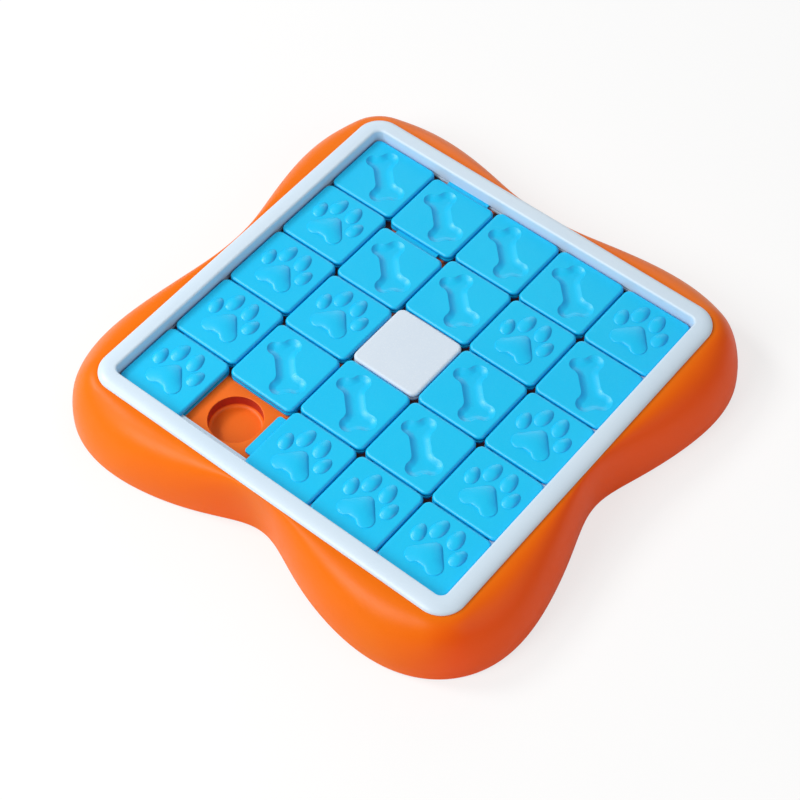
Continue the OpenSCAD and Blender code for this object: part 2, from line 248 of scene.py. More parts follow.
def mouldedPlastic(name, values):
    # base tone with slow mottling, fine spark-eroded grain, slight waviness and a few dull rubs, and where
    # asked painted shade on upright walls, on slopes that face one way and at tile junctions
    v = plastic
    n = Nodes(name)
    shader = n.add("ShaderNodeBsdfPrincipled")
    clouds = n.spread(n.noise(*v["cloudNoise"]), 0, 1)
    tone = n.blend(clouds, linear(values["colour"]), linear(values["cloud"]))
    specks = n.noise(values["grainScale"] * v["speckShare"], v["speckDetail"])
    tone = n.blend(n.spread(specks, 0, values["speckle"], *v["speckEnds"]), tone, linear(values["speck"]))
    if "upright" in values:
        # painted shade: upright walls get a darker tone that stands in for the shade they lie in
        split = n.add("ShaderNodeSeparateXYZ")
        n.link(n.normal, split.inputs[0])
        tone = n.blend(n.spread(split.outputs["Z"], 1, 0, *v["uprightEnds"]), tone, linear(values["upright"]))
    if "turned" in values:
        # painted shade: slopes that face the given way, away from the lamps, get a darker tone
        facing = n.add("ShaderNodeVectorMath", operation="DOT_PRODUCT")
        n.link(n.normal, facing.inputs[0])
        facing.inputs[1].default_value = values["turnedWay"]
        share = n.spread(facing.outputs["Value"], 0, 1, v["turnedFrom"], values["turnedFull"])
        tone = n.blend(share, tone, linear(values["turned"]))
    if "corner" in values:
        # painted shade: the deck gets darker where four tiles meet, standing in for the shade under the tile
        # corners
        place = n.add("ShaderNodeSeparateXYZ")
        n.link(n.coords, place.inputs[0])
        halfCell = board["pitch"] / 2
        nearest = n.add("ShaderNodeMath", operation="MINIMUM")
        for axis in (0, 1):
            fold = n.add("ShaderNodeMath", operation="PINGPONG")
            n.link(place.outputs[axis], fold.inputs[0])
            fold.inputs[1].default_value = halfCell * mm
            n.link(fold.outputs[0], nearest.inputs[axis])
        junctionShade = n.spread(nearest.outputs[0], 0, 1, *((halfCell - reach) * mm for reach in v["junctionShadeReach"]))
        tone = n.blend(junctionShade, tone, linear(values["corner"]))
    n.link(tone, shader.inputs["Base Color"])
    rubs = n.spread(n.noise(*v["rubNoise"]), 0, values["rubs"], *v["rubEnds"])
    satin = n.spread(n.noise(*v["satinNoise"]), *(values["rough"] + swing for swing in v["satinSwing"]))
    rough = n.add("ShaderNodeMath", operation="ADD")
    n.link(satin, rough.inputs[0])
    n.link(rubs, rough.inputs[1])
    n.link(rough.outputs[0], shader.inputs["Roughness"])
    wave = n.bump(n.noise(*v["waveNoise"]), v["waveStrength"], values["wave"])
    fine = n.noise(values["grainScale"], *v["grainDetail"])
    grain = n.bump(fine, values["grainStrength"], values["grainDepth"], wave)
    n.link(grain, shader.inputs["Normal"])
    shader.inputs["IOR"].default_value = v["ior"]
    shader.inputs["Specular IOR Level"].default_value = values["gloss"]
    n.link(shader.outputs["BSDF"], n.output.inputs["Surface"])
    return n.material


# painted shade: the tile's upright sides and its slopes that face +X and +Y are given darker blues
tileBlue = mouldedPlastic("tile blue", {
    "colour": (2, 198, 250), "cloud": (6, 202, 250), "speck": (40, 214, 252), "speckle": 0.25,
    "rough": 0.36, "rubs": 0.10, "wave": 0.0006,
    "grainScale": 1400, "grainStrength": 0.4, "grainDepth": 0.00022, "gloss": 0.55,
    "upright": (0, 146, 216),
    "turned": (0, 172, 236), "turnedWay": (0.78, 0.63, 0), "turnedFull": 0.45,
})
# painted shade: slopes of the base that face +X are given a redder, darker orange
baseOrange = mouldedPlastic("base orange", {
    "colour": (245, 118, 2), "cloud": (242, 111, 2), "speck": (249, 128, 12), "speckle": 0.2,
    "rough": 0.34, "rubs": 0.08, "wave": 0.0008,
    "turned": (251, 86, 0), "turnedWay": (1, 0, 0), "turnedFull": 0.75,
    "grainScale": 1300, "grainStrength": 0.3, "grainDepth": 0.0002, "gloss": 0.2,
})
frameWhite = mouldedPlastic("ice white", {
    "colour": (213, 232, 248), "cloud": (218, 235, 249), "speck": (232, 243, 252), "speckle": 0.2,
    "rough": 0.33, "rubs": 0.08, "wave": 0.0005,
    "grainScale": 1600, "grainStrength": 0.15, "grainDepth": 0.0002, "gloss": 0.5,
})
# painted shade: the tray's upright walls are given a dark red, and the deck a dark brown where four tiles
# meet
trayOrange = mouldedPlastic("tray orange", {
    "colour": (252, 116, 26), "cloud": (249, 110, 24), "speck": (253, 130, 44), "speckle": 0.2,
    "rough": 0.42, "rubs": 0.08, "wave": 0.0006, "upright": (182, 46, 30), "corner": (74, 34, 30),
    "grainScale": 1300, "grainStrength": 0.2, "grainDepth": 0.0002, "gloss": 0.34,
})
tileWhite = mouldedPlastic("tile white", {
    "colour": (222, 234, 246), "cloud": (214, 228, 243), "speck": (240, 247, 252), "speckle": 0.3,
    "rough": 0.50, "rubs": 0.10, "wave": 0.0006,
    "grainScale": 1500, "grainStrength": 0.35, "grainDepth": 0.00025, "gloss": 0.42,
})


def twoTone(name, v):
    # rubber and metal: two tones, a wandering roughness and a fine bump
    n = Nodes(name)
    shader = n.add("ShaderNodeBsdfPrincipled", Metallic=v["metallic"])
    first, second = (linear(tone) for tone in v["tones"])
    n.link(n.blend(n.spread(n.noise(*v["toneNoise"]), 0, 1), first, second), shader.inputs["Base Color"])
    n.link(n.spread(n.noise(*v["roughNoise"]), *v["rough"]), shader.inputs["Roughness"])
    n.link(n.bump(n.noise(*v["bumpNoise"]), v["bumpStrength"], v["bumpDepth"]), shader.inputs["Normal"])
    n.link(shader.outputs["BSDF"], n.output.inputs["Surface"])
    return n.material


footRubber = twoTone("foot rubber", {
    "tones": ((44, 44, 47), (58, 58, 61)), "toneNoise": (300, 3), "metallic": 0,
    "rough": (0.72, 0.86), "roughNoise": (120, 3),
    "bumpNoise": (1800, 3), "bumpStrength": 0.5, "bumpDepth": 0.0003,
})
plainSteel = twoTone("zinc plated steel", {
    "tones": ((190, 192, 196), (164, 167, 172)), "toneNoise": (900, 3), "metallic": 1,
    "rough": (0.24, 0.42), "roughNoise": (1200, 4, 0.6, (1, 1, 14)),
    "bumpNoise": (2600, 2, 0.5, (1, 1, 12)), "bumpStrength": 0.3, "bumpDepth": 0.0001,
})
print("materials ready")

tileForm = {
    "width": 50.0, "height": 6.0, "corner": 4.8, "cornerSteps": 10,
    "edge": 1.9, "edgeSteps": 7, "border": 0.4,
    "grooveLow": 1.4, "grooveHigh": 3.5, "grooveDepth": 6.6,
    "tongueLow": 1.8, "tongueHigh": 3.1, "tongueOut": 6.0, "tongueHalf": 16.5, "tongueCorner": 2.0,
    "tongueSteps": 5,
    "hollow": 32.0, "hollowDepth": 2.8,
    "pilotRadius": 1.6, "pilotDepth": 4.6, "pilotSteps": 24,
}


def isUpright(edge):
    return abs(edge.verts[0].co.z - edge.verts[1].co.z) > near


def roundEdges(bm, edges, radius, steps):
    bmesh.ops.bevel(bm, geom=edges, offset=radius, offset_type="OFFSET", segments=steps,
                    profile=0.5, affect="EDGES", material=-1)


def guidedBlock(t):
    # rounded block with grooves on +X and -Y, tongues on -X and +Y
    half, inner = t["width"] / 2, t["width"] / 2 - t["grooveDepth"]
    bm = bmesh.new()
    bmesh.ops.create_cube(bm, size=1)
    bmesh.ops.scale(bm, vec=(t["width"], t["width"], t["height"]), verts=bm.verts)
    bmesh.ops.translate(bm, vec=(0, 0, t["height"] / 2), verts=bm.verts)
    roundEdges(bm, [e for e in bm.edges if isUpright(e)], t["corner"], t["cornerSteps"])
    rim = [e for e in bm.edges if all(v.co.z > t["height"] - near / 10 for v in e.verts)]
    roundEdges(bm, rim, t["edge"], t["edgeSteps"])

    def isSide(f):
        return abs(f.normal.z) < 1 - squareOn

    def inBand(f, low, high):
        return isSide(f) and low < f.calc_center_median().z < high

    for z in (t["grooveLow"], t["tongueLow"], t["tongueHigh"], t["grooveHigh"]):
        bm.normal_update()
        cutFaces(bm, isSide, (0, 0, z), (0, 0, 1))
    cutFaces(bm, lambda f: inBand(f, t["grooveLow"], t["grooveHigh"]), (inner, 0, 0), (1, 0, 0))
    cutFaces(bm, lambda f: inBand(f, t["grooveLow"], t["grooveHigh"]), (0, -inner, 0), (0, 1, 0))
    for end in (-t["tongueHalf"], t["tongueHalf"]):
        cutFaces(bm, lambda f: inBand(f, t["tongueLow"], t["tongueHigh"]) and f.normal.x < -squareOn,
                 (0, end, 0), (0, 1, 0))
        cutFaces(bm, lambda f: inBand(f, t["tongueLow"], t["tongueHigh"]) and f.normal.y > squareOn,
                 (end, 0, 0), (1, 0, 0))

    bm.normal_update()
    groove = [f for f in bm.faces if inBand(f, t["grooveLow"], t["grooveHigh"])
              and (f.calc_center_median().x > inner or f.calc_center_median().y < -inner)]
    pushFaces(bm, groove, lambda p: Vector((min(p.x, inner), max(p.y, -inner), p.z)))
    bmesh.ops.remove_doubles(bm, verts=bm.verts, dist=near)

    bm.normal_update()
    for axis, side in ((0, -1), (1, 1)):
        across = 1 - axis
        faces = [f for f in bm.faces if inBand(f, t["tongueLow"], t["tongueHigh"])
                 and f.normal[axis] * side > squareOn
                 and abs(f.calc_center_median()[across]) < t["tongueHalf"]
                 and abs(f.calc_center_median()[axis]) > half - near]
        out = Vector((0, 0, 0))
        out[axis] = side * t["tongueOut"]
        verts = pushFaces(bm, faces, out)
        ends = [e for e in {e for v in verts for e in v.link_edges} if isUpright(e)
                and all(abs(abs(v.co[across]) - t["tongueHalf"]) < near
                        and abs(v.co[axis]) > half + near for v in e.verts)]
        roundEdges(bm, ends, t["tongueCorner"], t["tongueSteps"])
    return bm


def flatFace(bm, z, up):
    # largest level face at height z
    faces = [f for f in bm.faces if f.normal.z * up > squareOn and abs(f.calc_center_median().z - z) < near]
    return max(faces, key=lambda f: f.calc_area())


def sinkHollow(bm, t):
    # square pocket under the tile
    low, high = -(t["hollow"] + t["grooveDepth"]) / 2, (t["hollow"] - t["grooveDepth"]) / 2

    def isUnderside(f):
        return f.normal.z < -squareOn and f.calc_center_median().z < near

    bm.normal_update()
    for x in (low, high):
        cutFaces(bm, isUnderside, (x, 0, 0), (1, 0, 0))
    for y in (-high, -low):
        cutFaces(bm, isUnderside, (0, y, 0), (0, 1, 0))
    bm.normal_update()
    middle = [f for f in bm.faces if isUnderside(f)
              and low < f.calc_center_median().x < high and -high < f.calc_center_median().y < -low]
    pushFaces(bm, middle, (0, 0, t["hollowDepth"]))


def openTop(bm, t):
    # takes the flat top away and leaves a narrow border, for a motif to be fitted into
    bm.normal_update()
    top = flatFace(bm, t["height"], 1)
    bmesh.ops.inset_region(bm, faces=[top], thickness=t["border"], use_boundary=True, use_even_offset=True)
    bmesh.ops.delete(bm, geom=[top], context="FACES_ONLY")


def outlineFace(bm, points, z):
    # flat face that looks up
    face = bm.faces.new([bm.verts.new((x, y, z)) for x, y in points])
    face.normal_update()
    if face.normal.z < 0:
        face.normal_flip()
    return face


def steppedFace(bm, face, steps):
    # each step draws the face in by a width and lifts it by a height
    for width, lift in steps:
        bmesh.ops.inset_region(bm, faces=[face], thickness=width, depth=lift,
                               use_boundary=True, use_even_offset=True)


def crown(bm, face, middle, lift, rings, rounding):
    # dome over what is left of a face; each ring is smaller and rounder than the one before
    last = 1.0
    centre = Vector(middle)
    for i in range(1, rings):
        size = 1 - i / rings
        rise = lift * ((1 - size * size) - (1 - last * last))
        face = bmesh.ops.extrude_discrete_faces(bm, faces=[face])["faces"][0]
        reach = sum((v.co.xy - centre).length for v in face.verts) / len(face.verts)
        for v in face.verts:
            away = v.co.xy - centre
            even = 1 + rounding * (reach / away.length - 1)
            v.co.xy = centre + away * even * size / last
            v.co.z += rise
        last = size
    top = bmesh.ops.poke(bm, faces=[face])["verts"][0]
    top.co.x, top.co.y = middle
    top.co.z += lift * last * last


pawForm = {
    "outerToe": (14.4, 3.1, 4.5, 6.6, 11),      # to the side, up, half width, half length, lean
    "innerToe": (6.2, 12.3, 4.8, 7.4, -6),
    "egg": 0.10, "toeSteps": 32,
    "apex": ((0.0, -0.2), 4.7), "lobe": ((7.2, -10.0), 5.8), "notch": -13.5,
    "edge": [(0.13, 0.24), (0.22, 0.26)],
    "toeCrown": 1.38, "toeRings": 8,
    "padCrown": 1.62, "padRings": 12, "padMiddle": (0, -6.2),
    "rounding": 0.22,
    "notchSteps": 5, "lobeSteps": 18, "flankSteps": 5, "apexSteps": 6,
}


def toeOutline(x, y, width, length, lean, egg, steps):
    # leaning egg, wider at its lower end
    points = []
    for i in range(steps):
        a = 2 * pi * i / steps
        u, v = width * cos(a) * (1 - egg * sin(a)), length * sin(a)
        points.append((x + u * cos(lean) - v * sin(lean), y + u * sin(lean) + v * cos(lean)))
    return points


def padOutline(v):
    # round apex at the top, two lobes below with a hollow between them
    (apex, apexR), (lobe, lobeR) = v["apex"], v["lobe"]
    drop = lobe[1] - v["notch"]
    hollowR = (lobe[0] ** 2 + drop ** 2 - lobeR ** 2) / (2 * (lobeR - drop))
    hollow = (0, v["notch"] - hollowR)
    rise = towards(lobe, apex)
    flank = rise - acos((lobeR - apexR) / hypot(apex[0] - lobe[0], apex[1] - lobe[1]))
    meet = towards(hollow, lobe)
    right = arc(hollow, hollowR, pi / 2, meet, v["notchSteps"])
    right += arc(lobe, lobeR, meet + pi, flank + 2 * pi, v["lobeSteps"])
    start = (lobe[0] + lobeR * cos(flank), lobe[1] + lobeR * sin(flank))
    end = (apex[0] + apexR * cos(flank), apex[1] + apexR * sin(flank))
    for i in range(v["flankSteps"]):
        share = i / v["flankSteps"]
        right.append((start[0] + (end[0] - start[0]) * share, start[1] + (end[1] - start[1]) * share))
    right += arc(apex, apexR, flank, pi / 2, v["apexSteps"])
    left = [(-x, y) for x, y in reversed(right[1:])]
    return right + [(apex[0], apex[1] + apexR)] + left


def addPaw(bm, v, z):
    for side in (-1, 1):
        for x, y, width, length, lean in (v["outerToe"], v["innerToe"]):
            toe = toeOutline(side * x, y, width, length, radians(-side * lean), v["egg"], v["toeSteps"])
            face = outlineFace(bm, toe, z)
            steppedFace(bm, face, v["edge"])
            crown(bm, face, (side * x, y), v["toeCrown"], v["toeRings"], v["rounding"])
    face = outlineFace(bm, padOutline(v), z)
    steppedFace(bm, face, v["edge"])
    crown(bm, face, v["padMiddle"], v["padCrown"], v["padRings"], v["rounding"])


boneForm = {
    "knobs": [((-15.0, -5.3), 5.2), ((15.0, -5.3), 6.1), ((15.0, 5.3), 6.5), ((-15.0, 5.3), 6.1)],
    "turn": -45, "shaft": 6.3, "fillet": 6.0, "notch": 4.5, "knobSteps": 16, "filletSteps": 6,
    "trough": [(0.16, -0.06), (0.18, -0.14), (0.30, -0.24), (0.55, -0.35), (0.75, -0.37),
               (0.88, -0.35), (0.92, -0.28), (0.92, -0.17)],
    "keel": -0.14, "keelCuts": (-17, -13, -9, -5, 0, 5, 9, 13, 17),
}


def boneOutline(v):
    # knobs in turn, anticlockwise, with a notch at each end and a fillet at each side of the shaft
    knobs, points = v["knobs"], []

    def notchBetween(a, b):
        (first, firstR), (second, secondR) = knobs[a], knobs[b]
        return circlesTouching(first, firstR + v["notch"], second, secondR + v["notch"], -1)

    notches = {1: notchBetween(1, 2), 3: notchBetween(3, 0)}
    notches[2], notches[0] = notches[1], notches[3]
    for index in (1, 2, 3, 0):
        knob, r = knobs[index]
        side = 1 if knob[1] > 0 else -1
        away = v["shaft"] + v["fillet"]
        run = sqrt((r + v["fillet"]) ** 2 - (away - abs(knob[1])) ** 2)
        fillet = (knob[0] - run if knob[0] > 0 else knob[0] + run, side * away)
        notch, alongShaft = notches[index], -side * pi / 2
        if index in (1, 3):
            partner = knobs[(index + 1) % 4][0]
            points += arcTo(fillet, v["fillet"], alongShaft, towards(fillet, knob), -1, v["filletSteps"])
            points += arcTo(knob, r, towards(knob, fillet), towards(knob, notch), 1, v["knobSteps"])
            points += arcTo(notch, v["notch"], towards(notch, knob), towards(notch, partner), -1,
                            v["filletSteps"])
        else:
            points += arcTo(knob, r, towards(knob, notch), towards(knob, fillet), 1, v["knobSteps"])
            points += arcTo(fillet, v["fillet"], towards(fillet, knob), alongShaft, -1, v["filletSteps"])
            points.append((fillet[0], side * v["shaft"]))
    return points


def addBone(bm, v, z):
    turn = Matrix.Rotation(radians(v["turn"]), 3, "Z")
    corners = [turn @ Vector((x, y, 0)) for x, y in boneOutline(v)]
    face = outlineFace(bm, [(p.x, p.y) for p in corners], z)
    steppedFace(bm, face, v["trough"])
    # cuts along and across the floor give it a keel that lies a little deeper
    along, across = turn @ Vector((1, 0, 0)), turn @ Vector((0, 1, 0))
    floorZ = face.calc_center_median().z
    cutFaces(bm, lambda f: f is face, (0, 0, 0), across)
    for x in v["keelCuts"]:
        cutFaces(bm, lambda f: f.normal.z > squareOn and abs(f.calc_center_median().z - floorZ) < near,
                 along * x, along)
    reach = max(abs(x) for x in v["keelCuts"]) + near
    for vert in bm.verts:
        onLine = abs(vert.co.z - floorZ) < near and abs(vert.co.dot(across)) < near
        if onLine and abs(vert.co.dot(along)) < reach:
            vert.co.z += v["keel"]


def tileMesh(kind):
    t = tileForm
    bm = guidedBlock(t)
    bmesh.ops.recalc_face_normals(bm, faces=bm.faces)
    if kind == "plain":
        # the fixed tile has a screw hole instead of the hollow
        bmesh.ops.delete(bm, geom=[flatFace(bm, 0, -1)], context="FACES_ONLY")
        pilot = [(0, t["pilotDepth"]), (t["pilotRadius"], t["pilotDepth"]), (t["pilotRadius"], 0)]
        spun(bm, pilot, (0, 0), t["pilotSteps"])
        fillAt(bm, 0, -1)
        openTop(bm, t)
    else:
        sinkHollow(bm, t)
        openTop(bm, t)
        if kind == "p":
            addPaw(bm, pawForm, t["height"])
        else:
            addBone(bm, boneForm, t["height"])
    fillAt(bm, t["height"], 1)
    return bm


def buildTiles():
    models = {kind: tileMesh(kind) for kind in ("p", "b")}
    for r, line in enumerate(board["motifs"], 1):
        for c, kind in enumerate(line, 1):
            if kind == "-":
                continue
            node = f"tile_c{c}_r{r}"
            bm = models[kind].copy()
            bmesh.ops.translate(bm, vec=tileAt(c, r) + Vector((0, 0, board["deckZ"])), verts=bm.verts)
            addPiece(f"tile_{c}_{r}", bm, node, tileBlue, [node])
    for bm in models.values():
        bm.free()
    bm = tileMesh("plain")
    bmesh.ops.translate(bm, vec=(0, 0, board["deckZ"]), verts=bm.verts)
    addPiece("fixed_tile", bm, "base", tileWhite, ["centre_tile"])
    print("tiles built")


buildTiles()

frameForm = {
    "inside": 128.0, "corner": 5.0, "cornerSteps": 14, "width": 12.0, "top": 43.6, "rimLow": 39.9,
    "foot": board["deckZ"], "plug": 8.1, "plugChamfer": 0.3, "rimChamfer": 0.1,
    "shoulderWide": 8.0, "shoulderHigh": 3.5, "shoulderSteps": 9, "lip": 1.7, "lipSteps": 5,
    # slots take the tongues of the tiles, rails stand in their grooves
    "barHalf": 119.5, "slotLow": board["deckZ"] + tileForm["grooveLow"],
    "slotHigh": board["deckZ"] + tileForm["grooveHigh"], "slotDepth": tileForm["grooveDepth"],
    "railLow": board["deckZ"] + tileForm["tongueLow"], "railHigh": board["deckZ"] + tileForm["tongueHigh"],
    "railOut": tileForm["tongueOut"],
}


def frameProfile(v):
    # closed section, counted outwards from the turning point of the corners
    inner, outer = v["corner"], v["corner"] + v["width"]
    rim, plug = v["rimChamfer"], v["plugChamfer"]
    points = [(inner, z) for z in (v["foot"], v["slotLow"], v["railLow"], v["railHigh"], v["slotHigh"])]
    points += quarterArc((inner + v["lip"], v["top"] - v["lip"]), v["lip"], 180, 90, v["lipSteps"])
    shoulder = quarterArc((0, 0), 1, 90, 0, v["shoulderSteps"])
    points += [(outer - v["shoulderWide"] * (1 - x), v["top"] - v["shoulderHigh"] * (1 - y))
               for x, y in shoulder]
    points += [(outer, v["rimLow"] + rim), (outer - rim, v["rimLow"]), (inner + v["plug"], v["rimLow"])]
    points += [(inner + v["plug"], v["foot"] + plug), (inner + v["plug"] - plug, v["foot"])]
    return points


def sweptFrame(v):
    bm = bmesh.new()
    middle = v["inside"] - v["corner"]
    verts = [bm.verts.new((middle + r, middle, z)) for r, z in frameProfile(v)]
    edges = [bm.edges.new((a, b)) for a, b in zip(verts, verts[1:] + verts[:1])]
    bar = bmesh.ops.extrude_edge_only(bm, edges=edges)["geom"]
    bmesh.ops.translate(bm, vec=(0, -2 * middle, 0), verts=vertsIn(bar))
    bmesh.ops.spin(bm, geom=verts + edges, cent=(middle, middle, 0), axis=(0, 0, 1), dvec=(0, 0, 0),
                   angle=pi / 2, steps=v["cornerSteps"], use_merge=False, use_duplicate=False)
    quarter = bm.faces[:] + bm.edges[:] + bm.verts[:]
    for i in (1, 2, 3):
        copy = bmesh.ops.duplicate(bm, geom=quarter)["geom"]
        bmesh.ops.rotate(bm, cent=(0, 0, 0), matrix=Matrix.Rotation(i * pi / 2, 3, "Z"),
                         verts=vertsIn(copy))
    bmesh.ops.remove_doubles(bm, verts=bm.verts, dist=near)
    bmesh.ops.recalc_face_normals(bm, faces=bm.faces)
    return bm


def cutGuides(bm, v):
    # slots in the -X and +Y bars, rails on the +X and -Y bars
    inside = v["inside"]
    for axis in (0, 1):
        across = 1 - axis

        def onWall(f):
            return abs(f.normal[axis]) > squareOn and abs(abs(f.calc_center_median()[axis]) - inside) < near \
                and v["slotLow"] < f.calc_center_median().z < v["slotHigh"]

        for end in (-v["barHalf"], v["barHalf"]):
            point, normal = Vector((0, 0, 0)), Vector((0, 0, 0))
            point[across], normal[across] = end, 1
            cutFaces(bm, onWall, point, normal)
        bm.normal_update()
        slotSide = -1 if axis == 0 else 1
        for side, low, high, move in ((slotSide, v["slotLow"], v["slotHigh"], slotSide * v["slotDepth"]),
                                      (-slotSide, v["railLow"], v["railHigh"], slotSide * v["railOut"])):
            faces = [f for f in bm.faces if onWall(f) and f.calc_center_median()[axis] * side > 0
                     and low < f.calc_center_median().z < high
                     and abs(f.calc_center_median()[across]) < v["barHalf"]]
            shift = Vector((0, 0, 0))
            shift[axis] = move
            pushFaces(bm, faces, shift)


def buildFrame():
    bm = sweptFrame(frameForm)
    cutGuides(bm, frameForm)
    addPiece("frame_rim", bm, "base", frameWhite, ["frame"])
    print("frame built")


buildFrame()

trayForm = {
    "deck": board["deckZ"], "seat": board["deckZ"] - 2.2, "ledge": board["deckZ"] - 3.8,
    "plateHalf": 136.2, "plateCorner": 13.2, "ledgeHalf": 137.8, "ledgeCorner": 14.8,
    "cornerSteps": 8,
    "wellOffset": (-0.6, -0.9), "wellRadius": 17.2, "wellDepth": 9.6, "wellSteps": 72,
    "wellFillet": 2.5, "filletSteps": 7, "lip": 0.5, "lipSteps": 4,
    "cupWall": 1.8, "cupCorner": 1.2, "cupCornerSteps": 4, "cupSteps": 48,
    "floorRing": 8, "cupRing": 9,           # radius of a ring of edges in the flat bottoms
    "holeRadius": 1.8, "holeSteps": 24,
    "postAt": 129.40, "postRadius": 7.5, "postChamfer": 0.4, "postFoot": 3.0, "postSteps": 40,
    "boreRadius": 4.1, "screwSeat": board["deckZ"] - 6.6, "shankRadius": 1.9,
}


def squareOutline(half, corner, count):
    # square with round corners, anticlockwise
    turn = half - corner
    points = []
    for k, (x, y) in enumerate(((1, 1), (-1, 1), (-1, -1), (1, -1))):
        points += arc((x * turn, y * turn), corner, k * pi / 2, (k + 1) * pi / 2, count)
        points.append((x * turn + corner * cos((k + 1) * pi / 2), y * turn + corner * sin((k + 1) * pi / 2)))
    return points


def addLoop(bm, points, z):
    verts = [bm.verts.new((x, y, z)) for x, y in points]
    return [bm.edges.new(pair) for pair in zip(verts, verts[1:] + verts[:1])]


def buildTray():
    v = trayForm
    bm = bmesh.new()
    plate = squareOutline(v["plateHalf"], v["plateCorner"], v["cornerSteps"])
    ledge = squareOutline(v["ledgeHalf"], v["ledgeCorner"], v["cornerSteps"])
    loops = [addLoop(bm, plate, v["deck"]), addLoop(bm, plate, v["seat"]),
             addLoop(bm, ledge, v["seat"]), addLoop(bm, ledge, v["ledge"])]
    for a, b in zip(loops, loops[1:]):
        bmesh.ops.bridge_loops(bm, edges=a + b)

    # the hollow of a well and the cup under it
    floorZ = v["deck"] - v["wellDepth"]
    cupZ, cupR = floorZ - v["cupWall"], v["wellRadius"] + v["cupWall"]
    lip, fillet, corner = v["lip"], v["wellFillet"], v["cupCorner"]
    inside = [(v["wellRadius"] + lip, v["deck"])]
    inside += quarterArc((v["wellRadius"] + lip, v["deck"] - lip), lip, 90, 180, v["lipSteps"])[1:]
    inside += quarterArc((v["wellRadius"] - fillet, floorZ + fillet), fillet, 0, -90, v["filletSteps"])
    inside += [(v["floorRing"], floorZ), (0, floorZ)]
    outside = [(cupR, v["ledge"])]
    outside += quarterArc((cupR - corner, cupZ + corner), corner, 0, -90, v["cupCornerSteps"])
    outside += [(v["cupRing"], cupZ), (0, cupZ)]
    for r in range(1, board["cells"] + 1):
        for c in range(1, board["cells"] + 1):
            if c == r == board["centre"]:
                continue
            middle = cellAt(c, r) + Vector((v["wellOffset"][0], v["wellOffset"][1], 0))
            spun(bm, inside, middle, v["wellSteps"])
            spun(bm, outside, middle, v["cupSteps"])

    # screw holes; the posts are closed tubes that stand against the underside
    posts = [(x * v["postAt"], y * v["postAt"]) for x in (-1, 1) for y in (-1, 1)]
    for middle in posts + [(0, 0)]:
        spun(bm, [(v["holeRadius"], v["ledge"]), (v["holeRadius"], v["deck"])], middle, v["holeSteps"])
    tube = [(v["postRadius"], v["ledge"]), (v["postRadius"], v["postFoot"] + v["postChamfer"]),
            (v["postRadius"] - v["postChamfer"], v["postFoot"]), (v["boreRadius"], v["postFoot"]),
            (v["boreRadius"], v["screwSeat"]), (v["shankRadius"], v["screwSeat"]),
            (v["shankRadius"], v["ledge"]), (v["postRadius"], v["ledge"])]
    for middle in posts:
        spun(bm, tube, middle, v["postSteps"])
    bmesh.ops.remove_doubles(bm, verts=bm.verts, dist=near)
    fillAt(bm, v["deck"], 1)
    fillAt(bm, v["ledge"], -1)
    wells = [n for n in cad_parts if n.startswith("well_c")]
    addPiece("treat_tray", bm, "base", trayOrange, ["tray"] + wells)
    print("tray built")


buildTray()

skirtForm = {
    "foot": 0.8, "top": 39.7, "wall": 2.5, "footChamfer": 0.5, "footRise": 0.3, "rimLand": 0.9,
    "frameOut": 140.0, "frameCorner": 17.0, "rimOut": 0.25,
    "waistX": 6.15, "waistY": 0.75, "lobeOut": 19.6,
    "detail": {6: 0.6, 10: 0.5, 12: -0.65, 16: -0.3},
    "pocket": 136.4, "pocketCorner": 13.4, "pocketWall": 2.6, "seat": trayForm["seat"],
    "leastSpace": 0.4, "fullSpace": 12.0,
    "spokes": 384, "rows": 26, "innerRows": 8,
}


def skirtRadius(v, a):
    # four lobes with a waist in the middle of each side
    waistX, waistY = v["frameOut"] + v["waistX"], v["frameOut"] + v["waistY"]
    lobe = (v["frameOut"] - v["frameCorner"]) * sqrt(2) + v["frameCorner"] + v["lobeOut"]
    waist = (waistX + waistY) / 2
    swing = (lobe + waist) / 2 - (lobe - waist) / 2 * cos(4 * a) + (waistX - waistY) / 2 * cos(2 * a)
    # each finer wave gives back what it would add at the lobes and the waists
    still = {6: cos(2 * a), 10: cos(2 * a), 12: cos(4 * a), 16: 1}
    return swing + sum(size * (cos(n * a) - still[n]) for n, size in v["detail"].items())


def squareRadius(a, half, corner):
    # how far a square with round corners reaches at angle a
    c, s = abs(cos(a)), abs(sin(a))
    turn, flat = half - corner, half / max(c, s)
    if flat * min(c, s) <= turn:
        return flat
    b = turn * (c + s)
    return b + sqrt(b * b - 2 * turn * turn + corner * corner)


def skirtSection(v, a):
    # (radius, z) up the outside, over the rim, down the pocket and back down inside the wall
    foot = skirtRadius(v, a)
    top = squareRadius(a, v["frameOut"] + v["rimOut"], v["frameCorner"] + v["rimOut"])
    pocket = squareRadius(a, v["pocket"], v["pocketCorner"])
    innerFoot = foot - v["wall"]
    wall = squareRadius(a, v["pocket"] + v["pocketWall"], v["pocketCorner"] + v["pocketWall"])
    innerTop = min(wall, innerFoot - v["leastSpace"])
    space = min(1, max(0, (innerFoot - innerTop - v["leastSpace"]) / v["fullSpace"]))
    low = v["seat"] + v["leastSpace"]
    innerZ = low + space * (v["top"] - v["wall"] - low)
    section = [(foot - v["footChamfer"], v["foot"])]
    for i in range(v["rows"] + 1):
        t = radians(90 * i / v["rows"])
        z = v["foot"] + v["footRise"] * cos(t) + (v["top"] - v["foot"]) * sin(t)
        section.append((top + (foot - top) * cos(t), z))
    section[-1] = (top, v["top"])
    section += [(top - v["rimLand"], v["top"]), (pocket, v["top"])]
    section += [(pocket, v["seat"]), (innerTop, v["seat"])]
    for i in range(v["innerRows"], -1, -1):
        t = radians(90 * i / v["innerRows"])
        z = v["foot"] + (innerZ - v["foot"]) * sin(t)
        section.append((innerTop + (innerFoot - innerTop) * cos(t), z))
    return section


